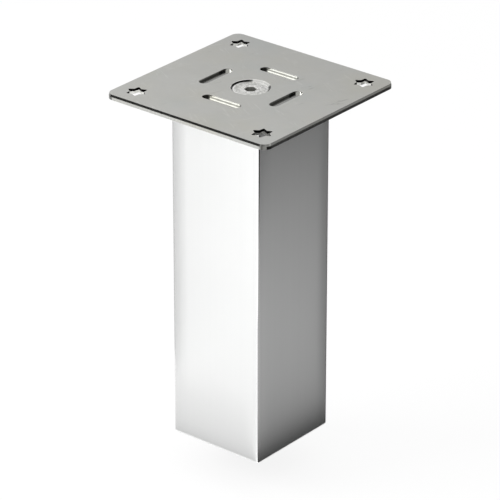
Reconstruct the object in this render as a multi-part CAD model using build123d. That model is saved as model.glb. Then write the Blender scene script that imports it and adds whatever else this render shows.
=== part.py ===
from build123d import *
import os
from math import cos, pi, radians, sin, tan

# Countertop support leg: a square aluminium tube with a steel mounting plate screwed on top
# and a levelling glide that screws out of its foot.
# Millimetres, +Z up, origin at the middle of the tube's foot. X and Y run along the plate's edges.

SIDES = 4  # of the square leg

# Leg tube, a square aluminium extrusion
TUBE_SIDE = 60.0
TUBE_WALL = 2.0
TUBE_LENGTH = 203.0
TUBE_OUTER_RADIUS = 0.6
TUBE_INNER_RADIUS = 0.4
TUBE_END_CHAMFER = 0.25

# Mounting plate, blanked from steel sheet
PLATE_SIDE = 110.0
PLATE_THICK = 3.0
PLATE_CORNER_RADIUS = 5.0
PLATE_ROLL_HEIGHT = 1.3  # upper part of the edge, rolled inwards by the blanking punch
PLATE_ROLL_ANGLE = 14.0  # degrees that the rolled part leans in

# Star-shaped screw holes near the plate's corners
STAR_MARGIN = 12.0  # plate edge to hole centre
STAR_POINTS = 6
STAR_TIP_RADIUS = 6.2  # to the sharp tip, before it is rounded
STAR_VALLEY_RADIUS = 3.9
STAR_TIP_ROUND = 0.6

# Half-sheared lugs that key the plate into the leg, each under a recess of the same outline
LUG_LENGTH = 25.0
LUG_WIDTH = 5.5
LUG_DEPTH = 1.5
LUG_DIE_GAP = 0.1  # the lug is this much smaller than its recess all round
LUG_WALL_GAP = 1.0  # lug to the tube's inner wall
LUG_POCKET_GAP = 0.5  # lug to its pocket in the top insert
RECESS_ROLL = 0.2  # broken edge round each recess

# Thread that the fixing screw and the levelling spindle share, and its hexagon nut
THREAD_DIAMETER = 10.0
THREAD_GAP = 0.08  # radial, screw to nut
NUT_ACROSS_FLATS = 17.0
NUT_HEIGHT = 8.0
NUT_FIT = 0.15  # nut flat to its pocket
NUT_RECESS = 0.2  # nut below the mouth of its pocket
NUT_CHAMFER_ANGLE = 30.0

# Fixing screw, countersunk, with a hexagon socket
HEAD_DIAMETER = 19.5
HEAD_ANGLE = 90.0
HEAD_LAND = 0.15  # straight rim above the cone
HEAD_SINK = 0.95  # head below the plate's top face
HEAD_SEAT_GAP = 0.03
HEAD_CLEARANCE = 0.5  # head to the counterbore in the top insert under the plate
SCREW_HOLE_GAP = 0.5  # radial, thread to the holes it passes through
SCREW_STICK_OUT = 2.6  # thread past the nut
SCREW_POINT_CHAMFER = 0.6
SCREW_SOCKET = 6.0
SCREW_SOCKET_DEPTH = 4.2
SOCKET_LEAD_IN = 0.35
SCREW_SOCKET_TURN = 40.0  # degrees from +X to a corner of the socket

# Moulded inserts bonded into both ends of the tube
INSERT_FIT = 0.1  # bond line to the tube's wall
INSERT_CORNER_RADIUS = 1.2
INSERT_SKIRT = 2.6
INSERT_RIB = 2.0
INSERT_RIBS = 4  # each runs right across, side to side or corner to corner
BOSS_WALL = 3.0  # round the corners of the nut
TOP_INSERT_HEIGHT = 30.0
TOP_INSERT_SETBACK = 0.2  # below the tube's rim, so that the plate seats on the tube
TOP_DECK = 7.0
FOOT_DECK = 4.0
FOOT_BOSS_ROOF = 9.0
RIB_DROP = 4.0  # ribs stop this far inside the skirt's open edge

# Levelling glide: a pad in a cup in the foot insert, on a spindle that turns in it
GLIDE_SETBACK = 0.5  # pad and insert inside the tube's rim when the glide is screwed home
GLIDE_TRAVEL = 20.0
CUP_WALL = 4.9  # between the cup and the insert's side
CUP_SHELL = 2.4  # thin wall left round the cup at the corners
PAD_CLEARANCE = 1.0  # pad to cup
PAD_BASE = 4.0
PAD_RIM_WALL = 2.4
PAD_RIM_HEIGHT = 2.2
PAD_EDGE = 1.0  # chamfer round the sole
PAD_FLOOR = 3.0  # under the spindle's bead
PAD_LIP = 2.4  # over the spindle's bead
PAD_SOCKET_WALL = 4.6
PAD_RIB = 1.8
PAD_RIBS = 8
PAD_RIB_DROP = 1.2  # below the rim
SNAP_SLOT = 1.4
SNAP_SLOTS = 4
SNAP_GAP = 0.3  # spindle to pad, in every direction
KEY_HOLE_GAP = 1.0  # radial, key socket to the hole under it
SOLE_RING_WIDTH = 5.0  # flat contact ring on the pad's underside
SOLE_DISH = 0.8

# Levelling spindle
NECK_STEP = 1.2  # thread to neck, radial
BEAD_STEP = 1.5  # neck to bead, radial
BEAD_HEIGHT = 2.6
BEAD_CHAMFER = 0.4  # lead-in on its lower edge; the upper one is a square shoulder
COLLAR_ACROSS_FLATS = 14.0
COLLAR_HEIGHT = 4.0
COLLAR_GAP = 0.5  # collar to the roof of the cup
SPINDLE_SPARE = 10.0  # thread past the nut when the glide is fully out
SPINDLE_SOCKET = 6.0
SPINDLE_SOCKET_DEPTH = 4.5

# Sizes that follow from those above
tube_inner = TUBE_SIDE - 2 * TUBE_WALL
insert_side = tube_inner - 2 * INSERT_FIT
plate_top = TUBE_LENGTH + PLATE_THICK
lug_offset = tube_inner / 2 - LUG_WALL_GAP - LUG_WIDTH / 2
star_pitch = PLATE_SIDE - 2 * STAR_MARGIN

thread_radius = THREAD_DIAMETER / 2 - THREAD_GAP
nut_bore_radius = THREAD_DIAMETER / 2
hole_radius = THREAD_DIAMETER / 2 + SCREW_HOLE_GAP
nut_corner_radius = NUT_ACROSS_FLATS / 2 / cos(pi / 6)
boss_radius = nut_corner_radius + BOSS_WALL

head_slope = tan(radians(HEAD_ANGLE / 2))
head_top = plate_top - HEAD_SINK
countersink_radius = HEAD_DIAMETER / 2 + (HEAD_SINK + HEAD_LAND + HEAD_SEAT_GAP) * head_slope

top_insert_top = TUBE_LENGTH - TOP_INSERT_SETBACK
top_insert_bottom = top_insert_top - TOP_INSERT_HEIGHT
top_nut_bottom = top_insert_bottom + NUT_RECESS
screw_tip = top_nut_bottom - SCREW_STICK_OUT
head_below_plate = countersink_radius - (plate_top - top_insert_top) * head_slope
counterbore_radius = head_below_plate + HEAD_CLEARANCE
counterbore_depth = (counterbore_radius - hole_radius) / head_slope + HEAD_CLEARANCE

cup_radius = insert_side / 2 - CUP_WALL
pad_radius = cup_radius - PAD_CLEARANCE
neck_radius = THREAD_DIAMETER / 2 - NECK_STEP
bead_radius = neck_radius + BEAD_STEP
pad_socket_radius = bead_radius + SNAP_GAP + PAD_SOCKET_WALL

pad_bottom = GLIDE_SETBACK
bead_bottom = pad_bottom + PAD_FLOOR + SNAP_GAP
bead_top = bead_bottom + BEAD_HEIGHT
pad_top = bead_top + SNAP_GAP + PAD_LIP
collar_bottom = pad_top + SNAP_GAP
collar_top = collar_bottom + COLLAR_HEIGHT
cup_roof = collar_top + COLLAR_GAP
foot_nut_bottom = cup_roof + NUT_RECESS
foot_nut_top = foot_nut_bottom + NUT_HEIGHT
foot_boss_top = foot_nut_top + FOOT_BOSS_ROOF
foot_insert_top = foot_boss_top + RIB_DROP
spindle_top = foot_nut_top + GLIDE_TRAVEL + SPINDLE_SPARE


def prism(outline, low, high):
    """A flat outline pulled straight up from one height to another."""
    return extrude(Pos(0, 0, low) * outline, amount=high - low)


def disc(radius, low, high):
    """An upright cylinder on the leg's axis."""
    return prism(Circle(radius), low, high)


def hexagon(across_flats, turn=0.0):
    """A hexagon with a corner at the given angle from +X."""
    return Rot(0, 0, turn) * RegularPolygon(across_flats / 2, 6, major_radius=False)


def cone(low_radius, high_radius, low, high):
    """An upright cone or frustum on the leg's axis."""
    middle = Pos(0, 0, (low + high) / 2)
    return middle * Cone(low_radius, high_radius, high - low)


def round_the_axis(piece, count, first=0.0, sweep=360.0):
    """Copies of a piece, evenly turned about the leg's axis through a sweep in degrees."""
    return [Rot(0, 0, first + sweep * i / count) * piece for i in range(count)]


def insert_outline():
    return RectangleRounded(insert_side, insert_side, INSERT_CORNER_RADIUS)


def star_outline():
    """A six-pointed star with two of its points along X and its tips rounded."""
    step = pi / STAR_POINTS
    corners = []
    for i in range(2 * STAR_POINTS):
        radius = STAR_VALLEY_RADIUS if i % 2 else STAR_TIP_RADIUS
        corners.append((radius * cos(i * step), radius * sin(i * step)))
    star = make_face(Polyline(*corners, close=True))
    by_distance = star.vertices().sort_by_distance((0, 0, 0))
    return fillet(by_distance[STAR_POINTS:], STAR_TIP_ROUND)


def countersink():
    """The cone that the screw head sits in, with the thread's hole below it."""
    drop = (countersink_radius - hole_radius) / head_slope
    seat = cone(hole_radius, countersink_radius, plate_top - drop, plate_top)
    return seat + disc(hole_radius, TUBE_LENGTH, plate_top)


def mounting_plate():
    outline = RectangleRounded(PLATE_SIDE, PLATE_SIDE, PLATE_CORNER_RADIUS)
    roll_bottom = plate_top - PLATE_ROLL_HEIGHT
    rolled = extrude(Pos(0, 0, roll_bottom) * outline, amount=PLATE_ROLL_HEIGHT, taper=PLATE_ROLL_ANGLE)
    plate = prism(outline, TUBE_LENGTH, roll_bottom) + rolled

    recess = Pos(0, lug_offset, 0) * SlotOverall(LUG_LENGTH, LUG_WIDTH)
    lug_length = LUG_LENGTH - 2 * LUG_DIE_GAP
    lug_width = LUG_WIDTH - 2 * LUG_DIE_GAP
    lug = Pos(0, lug_offset, 0) * SlotOverall(lug_length, lug_width)
    plate -= round_the_axis(prism(recess, plate_top - LUG_DEPTH, plate_top), SIDES)
    rims = plate.faces().sort_by(Axis.Z)[-1].inner_wires().edges()
    plate = chamfer(rims, RECESS_ROLL)
    plate += round_the_axis(prism(lug, TUBE_LENGTH - LUG_DEPTH, plate_top - LUG_DEPTH), SIDES)

    star = prism(star_outline(), TUBE_LENGTH, plate_top)
    plate -= [place * star for place in GridLocations(star_pitch, star_pitch, 2, 2)]
    return plate - countersink()


def key_socket(across_flats, depth, mouth, opens, turn=0.0):
    """A hexagon socket with a lead-in, opening up (1) or down (-1) at a height."""
    socket = prism(hexagon(across_flats, turn), -depth, 0)
    mouth_outline = hexagon(across_flats + 2 * SOCKET_LEAD_IN, turn)
    socket += extrude(mouth_outline, amount=-SOCKET_LEAD_IN, taper=45)
    upright = Rot(0, 0, 0) if opens > 0 else Rot(180, 0, 0)
    return Pos(0, 0, mouth) * upright * socket


def fixing_screw():
    cone_top = head_top - HEAD_LAND
    cone_bottom = cone_top - (HEAD_DIAMETER / 2 - thread_radius) / head_slope
    head = disc(HEAD_DIAMETER / 2, cone_top, head_top)
    head += cone(thread_radius, HEAD_DIAMETER / 2, cone_bottom, cone_top)
    shank = disc(thread_radius, screw_tip, cone_bottom)
    shank = chamfer(shank.faces().sort_by(Axis.Z)[0].edges(), SCREW_POINT_CHAMFER)
    return head + shank - key_socket(SCREW_SOCKET, SCREW_SOCKET_DEPTH, head_top, 1, SCREW_SOCKET_TURN)


def leg_tube():
    outside = RectangleRounded(TUBE_SIDE, TUBE_SIDE, TUBE_OUTER_RADIUS)
    inside = RectangleRounded(tube_inner, tube_inner, TUBE_INNER_RADIUS)
    bar = prism(outside, 0, TUBE_LENGTH)
    ends = bar.faces().filter_by(Axis.Z).edges()
    return chamfer(ends, TUBE_END_CHAMFER) - prism(inside, 0, TUBE_LENGTH)


def hex_nut(bottom):
    """A nut with its lower face chamfered from its corners; its flat upper face bears in the pocket."""
    top = bottom + NUT_HEIGHT
    bevel = (nut_corner_radius - NUT_ACROSS_FLATS / 2) * tan(radians(NUT_CHAMFER_ANGLE))
    body = disc(nut_corner_radius, bottom + bevel, top)
    body += cone(NUT_ACROSS_FLATS / 2, nut_corner_radius, bottom, bottom + bevel)
    nut = prism(hexagon(NUT_ACROSS_FLATS), bottom, top) & body
    return nut - disc(nut_bore_radius, bottom, top)


def nut_pocket(mouth):
    """Room for a nut above the mouth of its pocket."""
    return prism(hexagon(NUT_ACROSS_FLATS + 2 * NUT_FIT), mouth, mouth + NUT_RECESS + NUT_HEIGHT)


def ribs(low, high):
    """Straight and diagonal ribs that tie a boss to the skirt of an insert."""
    reach = 2 * insert_side
    spokes = sum(round_the_axis(Rectangle(reach, INSERT_RIB), INSERT_RIBS, sweep=180), Sketch())
    return prism(spokes & insert_outline(), low, high)


def skirt(low, high):
    """The square wall of an insert."""
    inner = insert_side - 2 * INSERT_SKIRT
    return prism(insert_outline() - Rectangle(inner, inner), low, high)


def top_insert():
    low = top_insert_bottom
    high = top_insert_top
    body = skirt(low, high) + prism(insert_outline(), high - TOP_DECK, high)
    body += ribs(low + RIB_DROP, high - TOP_DECK) + disc(boss_radius, low, high)

    half_width = LUG_WIDTH / 2 + LUG_POCKET_GAP
    pocket_inner = lug_offset - half_width
    pocket_run = insert_side / 2 - pocket_inner
    pocket = Pos(0, pocket_inner + pocket_run / 2, 0)
    pocket *= Rectangle(LUG_LENGTH + 2 * LUG_POCKET_GAP, pocket_run)
    pocket_floor = TUBE_LENGTH - LUG_DEPTH - LUG_POCKET_GAP
    body -= round_the_axis(prism(pocket, pocket_floor, high), SIDES)
    head_room = disc(counterbore_radius, high - counterbore_depth, high)
    return body - nut_pocket(low) - disc(hole_radius, low, high) - head_room


def foot_insert():
    low = GLIDE_SETBACK
    high = foot_insert_top
    deck_top = cup_roof + FOOT_DECK
    inner = insert_side - 2 * INSERT_SKIRT
    corner_pockets = Rectangle(inner, inner) - Circle(cup_radius + CUP_SHELL)
    body = prism(insert_outline(), low, deck_top) + skirt(deck_top, high)
    body += ribs(deck_top, foot_boss_top) + disc(boss_radius, deck_top, foot_boss_top)
    body -= prism(corner_pockets, low, cup_roof)
    body -= disc(cup_radius, low, cup_roof)
    return body - nut_pocket(cup_roof) - disc(hole_radius, cup_roof, foot_boss_top)


def glide_pad():
    base_top = pad_bottom + PAD_BASE
    base = disc(pad_radius, pad_bottom, base_top + PAD_RIM_HEIGHT)
    base = chamfer(base.faces().sort_by(Axis.Z)[0].edges(), PAD_EDGE)
    base -= disc(pad_radius - PAD_RIM_WALL, base_top, pad_top)
    base += disc(pad_socket_radius, base_top, pad_top)

    spoke_length = pad_radius - PAD_RIM_WALL / 2 - pad_socket_radius + PAD_SOCKET_WALL / 2
    spoke_middle = pad_socket_radius - PAD_SOCKET_WALL / 2 + spoke_length / 2
    spoke = prism(Pos(spoke_middle, 0) * Rectangle(spoke_length, PAD_RIB), base_top,
                  base_top + PAD_RIM_HEIGHT - PAD_RIB_DROP)
    base += round_the_axis(spoke, PAD_RIBS, 180 / PAD_RIBS)

    slot_length = 2 * pad_socket_radius + SNAP_GAP
    slot = prism(Rectangle(slot_length, SNAP_SLOT), base_top + PAD_RIM_HEIGHT, pad_top)
    base -= round_the_axis(slot, SNAP_SLOTS // 2, sweep=180)

    cavity_floor = bead_bottom - SNAP_GAP
    base -= disc(bead_radius + SNAP_GAP, cavity_floor, bead_top + SNAP_GAP)
    base -= disc(neck_radius + SNAP_GAP, bead_top, pad_top)
    base -= disc(SPINDLE_SOCKET / 2 / cos(pi / 6) + KEY_HOLE_GAP, pad_bottom, cavity_floor)
    return base - disc(pad_radius - SOLE_RING_WIDTH, pad_bottom, pad_bottom + SOLE_DISH)


def glide_spindle():
    stud = disc(thread_radius, collar_top, spindle_top)
    stud = chamfer(stud.faces().sort_by(Axis.Z)[-1].edges(), SCREW_POINT_CHAMFER)
    bead = disc(bead_radius, bead_bottom, bead_top)
    bead = chamfer(bead.faces().sort_by(Axis.Z)[0].edges(), BEAD_CHAMFER)
    collar = prism(hexagon(COLLAR_ACROSS_FLATS), collar_bottom, collar_top)
    spindle = stud + collar + disc(neck_radius, bead_bottom, collar_bottom) + bead
    return spindle - key_socket(SPINDLE_SOCKET, SPINDLE_SOCKET_DEPTH, bead_bottom, -1)


PIECES = {
    "mounting_plate": mounting_plate,
    "fixing_screw": fixing_screw,
    "leg_tube": leg_tube,
    "top_insert": top_insert,
    "top_nut": lambda: hex_nut(top_nut_bottom),
    "foot_insert": foot_insert,
    "foot_nut": lambda: hex_nut(foot_nut_bottom),
    "glide_pad": glide_pad,
    "glide_spindle": glide_spindle,
}

os.makedirs("parts", exist_ok=True)
for node, make in PIECES.items():
    export_step(make(), f"parts/{node}.step")
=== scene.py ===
from functools import partialmethod
from math import cos, pi, radians, sin

import bmesh
import bpy
from bpy.props import FloatProperty, FloatVectorProperty, IntProperty, PointerProperty
from bpy.types import NodeSocket, Operator, Panel, PropertyGroup
from mathutils import Matrix, Vector


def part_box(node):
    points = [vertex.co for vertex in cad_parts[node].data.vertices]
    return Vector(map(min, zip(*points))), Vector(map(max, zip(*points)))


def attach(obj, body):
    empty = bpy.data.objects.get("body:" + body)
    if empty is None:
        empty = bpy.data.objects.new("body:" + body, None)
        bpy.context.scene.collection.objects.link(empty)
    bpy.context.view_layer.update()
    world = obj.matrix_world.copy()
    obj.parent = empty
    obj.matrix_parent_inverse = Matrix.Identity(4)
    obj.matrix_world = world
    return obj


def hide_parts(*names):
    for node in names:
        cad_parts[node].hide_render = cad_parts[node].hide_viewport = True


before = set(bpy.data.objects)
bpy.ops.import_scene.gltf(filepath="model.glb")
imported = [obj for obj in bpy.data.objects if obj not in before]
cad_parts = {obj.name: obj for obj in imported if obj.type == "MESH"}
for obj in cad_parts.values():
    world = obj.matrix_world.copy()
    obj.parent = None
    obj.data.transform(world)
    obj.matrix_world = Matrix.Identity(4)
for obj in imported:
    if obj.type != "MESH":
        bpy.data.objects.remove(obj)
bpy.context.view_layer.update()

bl_info = {
    "name": "Countertop Support Leg",
    "version": (1, 0, 0),
    "blender": (4, 5, 0),
    "location": "3D View > Sidebar > Support Leg",
    "description": "Finishes, threaded levelling spindle and studio for a square countertop support leg",
    "category": "Object",
}

# Places that the finishes need, read from the solids
PLATE_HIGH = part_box("mounting_plate")[1]
TUBE_LOW, TUBE_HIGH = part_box("leg_tube")
SCREW_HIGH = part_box("fixing_screw")[1]
SPINDLE_LOW, SPINDLE_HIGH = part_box("glide_spindle")
PAD_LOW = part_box("glide_pad")[0]

# Colours of wear, smudges and dust, and of painted shade
ZINC_SMUDGED = (0.86, 0.86, 0.85, 1.0)
ZINC_SCRATCHED = (0.72, 0.72, 0.7, 1.0)
ZINC_GOUGED = (0.16, 0.16, 0.15, 1.0)
ZINC_WARM = (1.0, 0.97, 0.87, 1.0)
ZINC_BLUE = (0.9, 0.96, 1.0, 1.0)
DUST = (0.2, 0.2, 0.19, 1.0)
SHEAR_STREAK = (0.25, 0.25, 0.24, 1.0)
# painted shade in the crease where a recess's walls meet its floor
RECESS_SEAM_SHADE = (0.06, 0.06, 0.055, 1.0)
HEAD_RING = (0.4, 0.4, 0.385, 1.0)
HEAD_PEENED = (0.44, 0.44, 0.42, 1.0)
HEAD_SMUDGED = (0.75, 0.75, 0.73, 1.0)
TUBE_STREAK = (0.7, 0.71, 0.71, 1.0)
TUBE_SMUDGED = (0.93, 0.93, 0.94, 1.0)
NUT_SMUDGED = (0.7, 0.69, 0.66, 1.0)
SPINDLE_SMUDGED = (0.75, 0.74, 0.7, 1.0)
GLASS_FIBRE = (0.07, 0.07, 0.07, 1.0)
NYLON_BLOOM = (0.022, 0.022, 0.023, 1.0)
FLOOR_CLOUD = (0.8, 0.8, 0.8, 1.0)
WHITE = (1.0, 1.0, 1.0, 1.0)

# Making the spindle's mesh
HEXAGON = 6
ROUND_STEPS = 48  # faces round the snap-in bead, a whole number for each side of the key socket
SAME_POINT = 1e-6  # points of the thread closer than this are one
CUT_SLACK = 1e-7  # slack of the thread's level cuts and of closing up a shell
CREASE = radians(32)  # edges sharper than this stay sharp


def colour_property(name, description, default):
    return FloatVectorProperty(name=name, description=description, subtype="COLOR", size=3, min=0.0, max=1.0,
                               default=default)


def share_property(name, description, default):
    return FloatProperty(name=name, description=description, subtype="FACTOR", min=0.0, max=1.0,
                         default=default)


def length_property(name, description, default):
    return FloatProperty(name=name, description=description, subtype="DISTANCE", unit="LENGTH", min=0.0,
                         precision=5, default=default)


def angle_property(name, description, default):
    return FloatProperty(name=name, description=description, subtype="ANGLE", unit="ROTATION",
                         default=default)


class PlateSettings(PropertyGroup):
    """Finish of the mounting plate"""
    colour: colour_property("Zinc", "Colour of the plated top face", (0.5, 0.5, 0.478))
    # painted shade: the upper walls of the star holes are near-black
    sheared: colour_property("Sheared wall", "Colour of a star hole's upper wall", (0.005, 0.005, 0.005))
    torn: colour_property("Torn wall", "Colour of a star hole's lower wall", (0.85, 0.85, 0.82))
    sheared_height: length_property("Sheared height", "Height of a star hole's sheared upper wall", 0.0015)
    ragged: length_property("Ragged", "How far the line between sheared and torn wanders", 0.0006)
    countersink: colour_property("Countersink", "Colour of the cone round the screw head", (0.6, 0.6, 0.58))
    # painted highlight: the bright ring inside the countersink's mouth and the far ends of some recesses
    lip: colour_property("Lip", "Colour of the burnished lip of the countersink", (0.9, 0.9, 0.87))
    # painted shade: the dark colour of the countersink's shaded sides and of the recesses
    dirt: colour_property("Dirt", "Colour of the oily dirt in the hollows", (0.012, 0.012, 0.011))
    # painted shade: the plate's edge is near-black close to each corner
    corner: colour_property("Corner", "Colour of the rubbed corners of the edge", (0.035, 0.034, 0.029))
    satin: share_property("Satin", "Roughness of the top face", 0.34)
    burnished: share_property("Burnished", "Roughness where the punches rubbed", 0.15)
    scratches: share_property("Scratches", "How much the handling scratches show", 0.55)
    star_margin: length_property("Star margin", "Plate edge to the middle of a star hole", 0.012)
    star_reach: length_property("Star reach", "Middle of a star hole to just past its tips", 0.0072)
    recess_reach: length_property("Recess reach", "Middle of the plate to just past the recesses", 0.029)
    recess_depth: length_property("Recess depth", "Depth of the pressed recesses", 0.0015)
    # painted shade: how dark the floors of the recesses are painted
    recess_floor_shade: share_property("Recess grime", "How dirty the floors of the recesses are", 0.36)
    mouth: length_property("Countersink mouth", "Radius at the top of the countersink", 0.0109)
    corner_reach: length_property("Corner reach", "Length of the rubbed edge at a corner", 0.0045)


class ScrewSettings(PropertyGroup):
    """Finish of the countersunk fixing screw"""
    colour: colour_property("Bright zinc", "Colour of the turned head", (0.94, 0.94, 0.92))
    dull: colour_property("Dull band", "Colour of the dull band between the bright rings", (0.62, 0.62, 0.6))
    # the socket's colour is also painted as shade on one side of the head's rim
    socket: colour_property("Socket", "Colour of the oiled key socket", (0.4, 0.4, 0.38))
    satin: share_property("Satin", "Roughness of the head", 0.26)
    ring_pitch: length_property("Ring pitch", "Distance between the turning marks on the head", 0.0009)
    socket_reach: length_property("Socket reach", "Screw axis to the corners of the key socket", 0.0037)
    head_height: length_property("Head height", "Top of the head to where the thread starts", 0.0052)


class TubeSettings(PropertyGroup):
    """Finish of the square tube"""
    colour: colour_property("Aluminium", "Colour of the drawn tube", (0.87, 0.875, 0.87))
    satin: share_property("Satin", "Roughness of the drawn faces", 0.295)
    polished: share_property("Polished", "Roughness of the rubbed edges", 0.06)
    lines: share_property("Drawing lines", "How deep the lines along the tube are", 0.3)
    crown: length_property("Crown", "Width along each edge where a face falls away", 0.011)
    fall: angle_property("Fall", "How far a face leans at its edge", radians(6.0))
    # painted highlight: the arris is painted white along each upright edge
    arris: length_property("Arris", "Width of the rubbed line along each upright edge", 0.0013)
    roll: angle_property("Roll", "How far the rubbed line leans at the edge", radians(6.0))


class NutSettings(PropertyGroup):
    """Finish of the hexagon nuts"""
    colour: colour_property("Zinc", "Colour of the plated nuts", (0.52, 0.52, 0.5))
    satin: share_property("Satin", "Roughness of the nuts", 0.32)


class MouldingSettings(PropertyGroup):
    """Finish of the moulded inserts and the glide pad"""
    insert_colour: colour_property("Insert", "Colour of the glass-filled inserts", (0.012, 0.012, 0.013))
    pad_colour: colour_property("Pad", "Colour of the glide pad", (0.009, 0.009, 0.0095))
    worn_colour: colour_property("Worn sole", "Colour of the pad's scuffed sole", (0.06, 0.058, 0.055))
    worn_height: length_property("Worn height", "How far up from the floor the pad is scuffed", 0.0006)
    matt: share_property("Matt", "Roughness of the mouldings", 0.48)
    grain: length_property("Grain", "Size of the spark-eroded grain", 0.00035)


class SpindleSettings(PropertyGroup):
    """Shape and finish of the levelling spindle"""
    colour: colour_property("Zinc", "Colour of the plated spindle", (0.55, 0.55, 0.52))
    grease: colour_property("Grease", "Colour of the grease in the thread's root", (0.09, 0.08, 0.06))
    satin: share_property("Satin", "Roughness of the spindle", 0.28)
    pitch: length_property("Pitch", "Rise of the thread in one turn", 0.0015)
    crest: length_property("Crest radius", "Outside radius of the thread", 0.00492)
    depth: length_property("Thread depth", "Crest to root", 0.00092)
    lead_in: length_property("Lead-in", "Chamfer at the thread's free end", 0.0006)
    collar_low: length_property("Collar bottom", "Height of the collar's lower face", 0.0094)
    collar_high: length_property("Collar top", "Height of the collar's upper face", 0.0134)
    collar_flats: length_property("Collar flats", "Across the collar's flats", 0.014)
    collar_break: length_property("Collar corners", "Width of the collar's broken corners", 0.0003)
    thread_root: length_property("Thread root", "How far the thread runs into the collar", 0.0003)
    neck_root: length_property("Neck root", "How far the neck runs into the collar", 0.0004)
    neck: length_property("Neck radius", "Radius under the collar", 0.0038)
    bead: length_property("Bead radius", "Radius of the snap-in bead", 0.0053)
    bead_height: length_property("Bead height", "Height of the snap-in bead", 0.0026)
    bead_chamfer: length_property("Bead chamfer", "Lead-in on the bead's lower edge", 0.0004)
    bead_round: length_property("Bead round", "Broken edge of the bead's shoulder", 0.0002)
    key: length_property("Key", "Across the flats of the key socket", 0.006)
    key_depth: length_property("Key depth", "Depth of the key socket", 0.0045)
    steps: IntProperty(name="Steps", description="Faces round one turn of the thread", default=32,
                       min=8, max=96)


class StageSettings(PropertyGroup):
    """Camera, light and floor"""
    azimuth: angle_property("Azimuth", "Camera round the leg, from its -Y side", radians(39.46))
    elevation: angle_property("Elevation", "Camera above the horizon", radians(25.76))
    distance: length_property("Distance", "Camera to the point it looks at", 1.935)
    target: FloatVectorProperty(name="Target", description="Point that the camera looks at",
                                subtype="TRANSLATION", unit="LENGTH", size=3, precision=5,
                                default=(-0.00027, -0.00022, 0.10961))
    lens: FloatProperty(name="Lens", description="Focal length on a 36 mm sensor", subtype="DISTANCE_CAMERA",
                        default=255.8)
    room_light: FloatProperty(name="Room light", description="Level of the white room", default=1.0, min=0.0)
    softbox: FloatProperty(name="Softbox", description="Power of the softbox at the front left",
                           subtype="POWER", unit="POWER", default=5.0, min=0.0)
    softbox_width: length_property("Softbox width", "Width of the softbox", 0.6)
    softbox_height: length_property("Softbox height", "Height of the softbox", 0.45)
    softbox_distance: length_property("Softbox distance", "Top of the leg to the softbox", 0.9)
    floor: share_property("Floor", "Whiteness of the floor", 0.9)
    reach: length_property("Floor reach", "Middle of the floor to its sides", 4.0)
    drop: length_property("Drop", "Floor below the foot, where the pad stands when screwed right out", 0.0202)


class SupportLegSettings(PropertyGroup):
    """Everything that can be changed on the leg"""
    plate: PointerProperty(type=PlateSettings, name="Plate")
    screw: PointerProperty(type=ScrewSettings, name="Screw")
    tube: PointerProperty(type=TubeSettings, name="Tube")
    nut: PointerProperty(type=NutSettings, name="Nuts")
    moulding: PointerProperty(type=MouldingSettings, name="Mouldings")
    spindle: PointerProperty(type=SpindleSettings, name="Spindle")
    stage: PointerProperty(type=StageSettings, name="Stage")


# Node helpers

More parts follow.
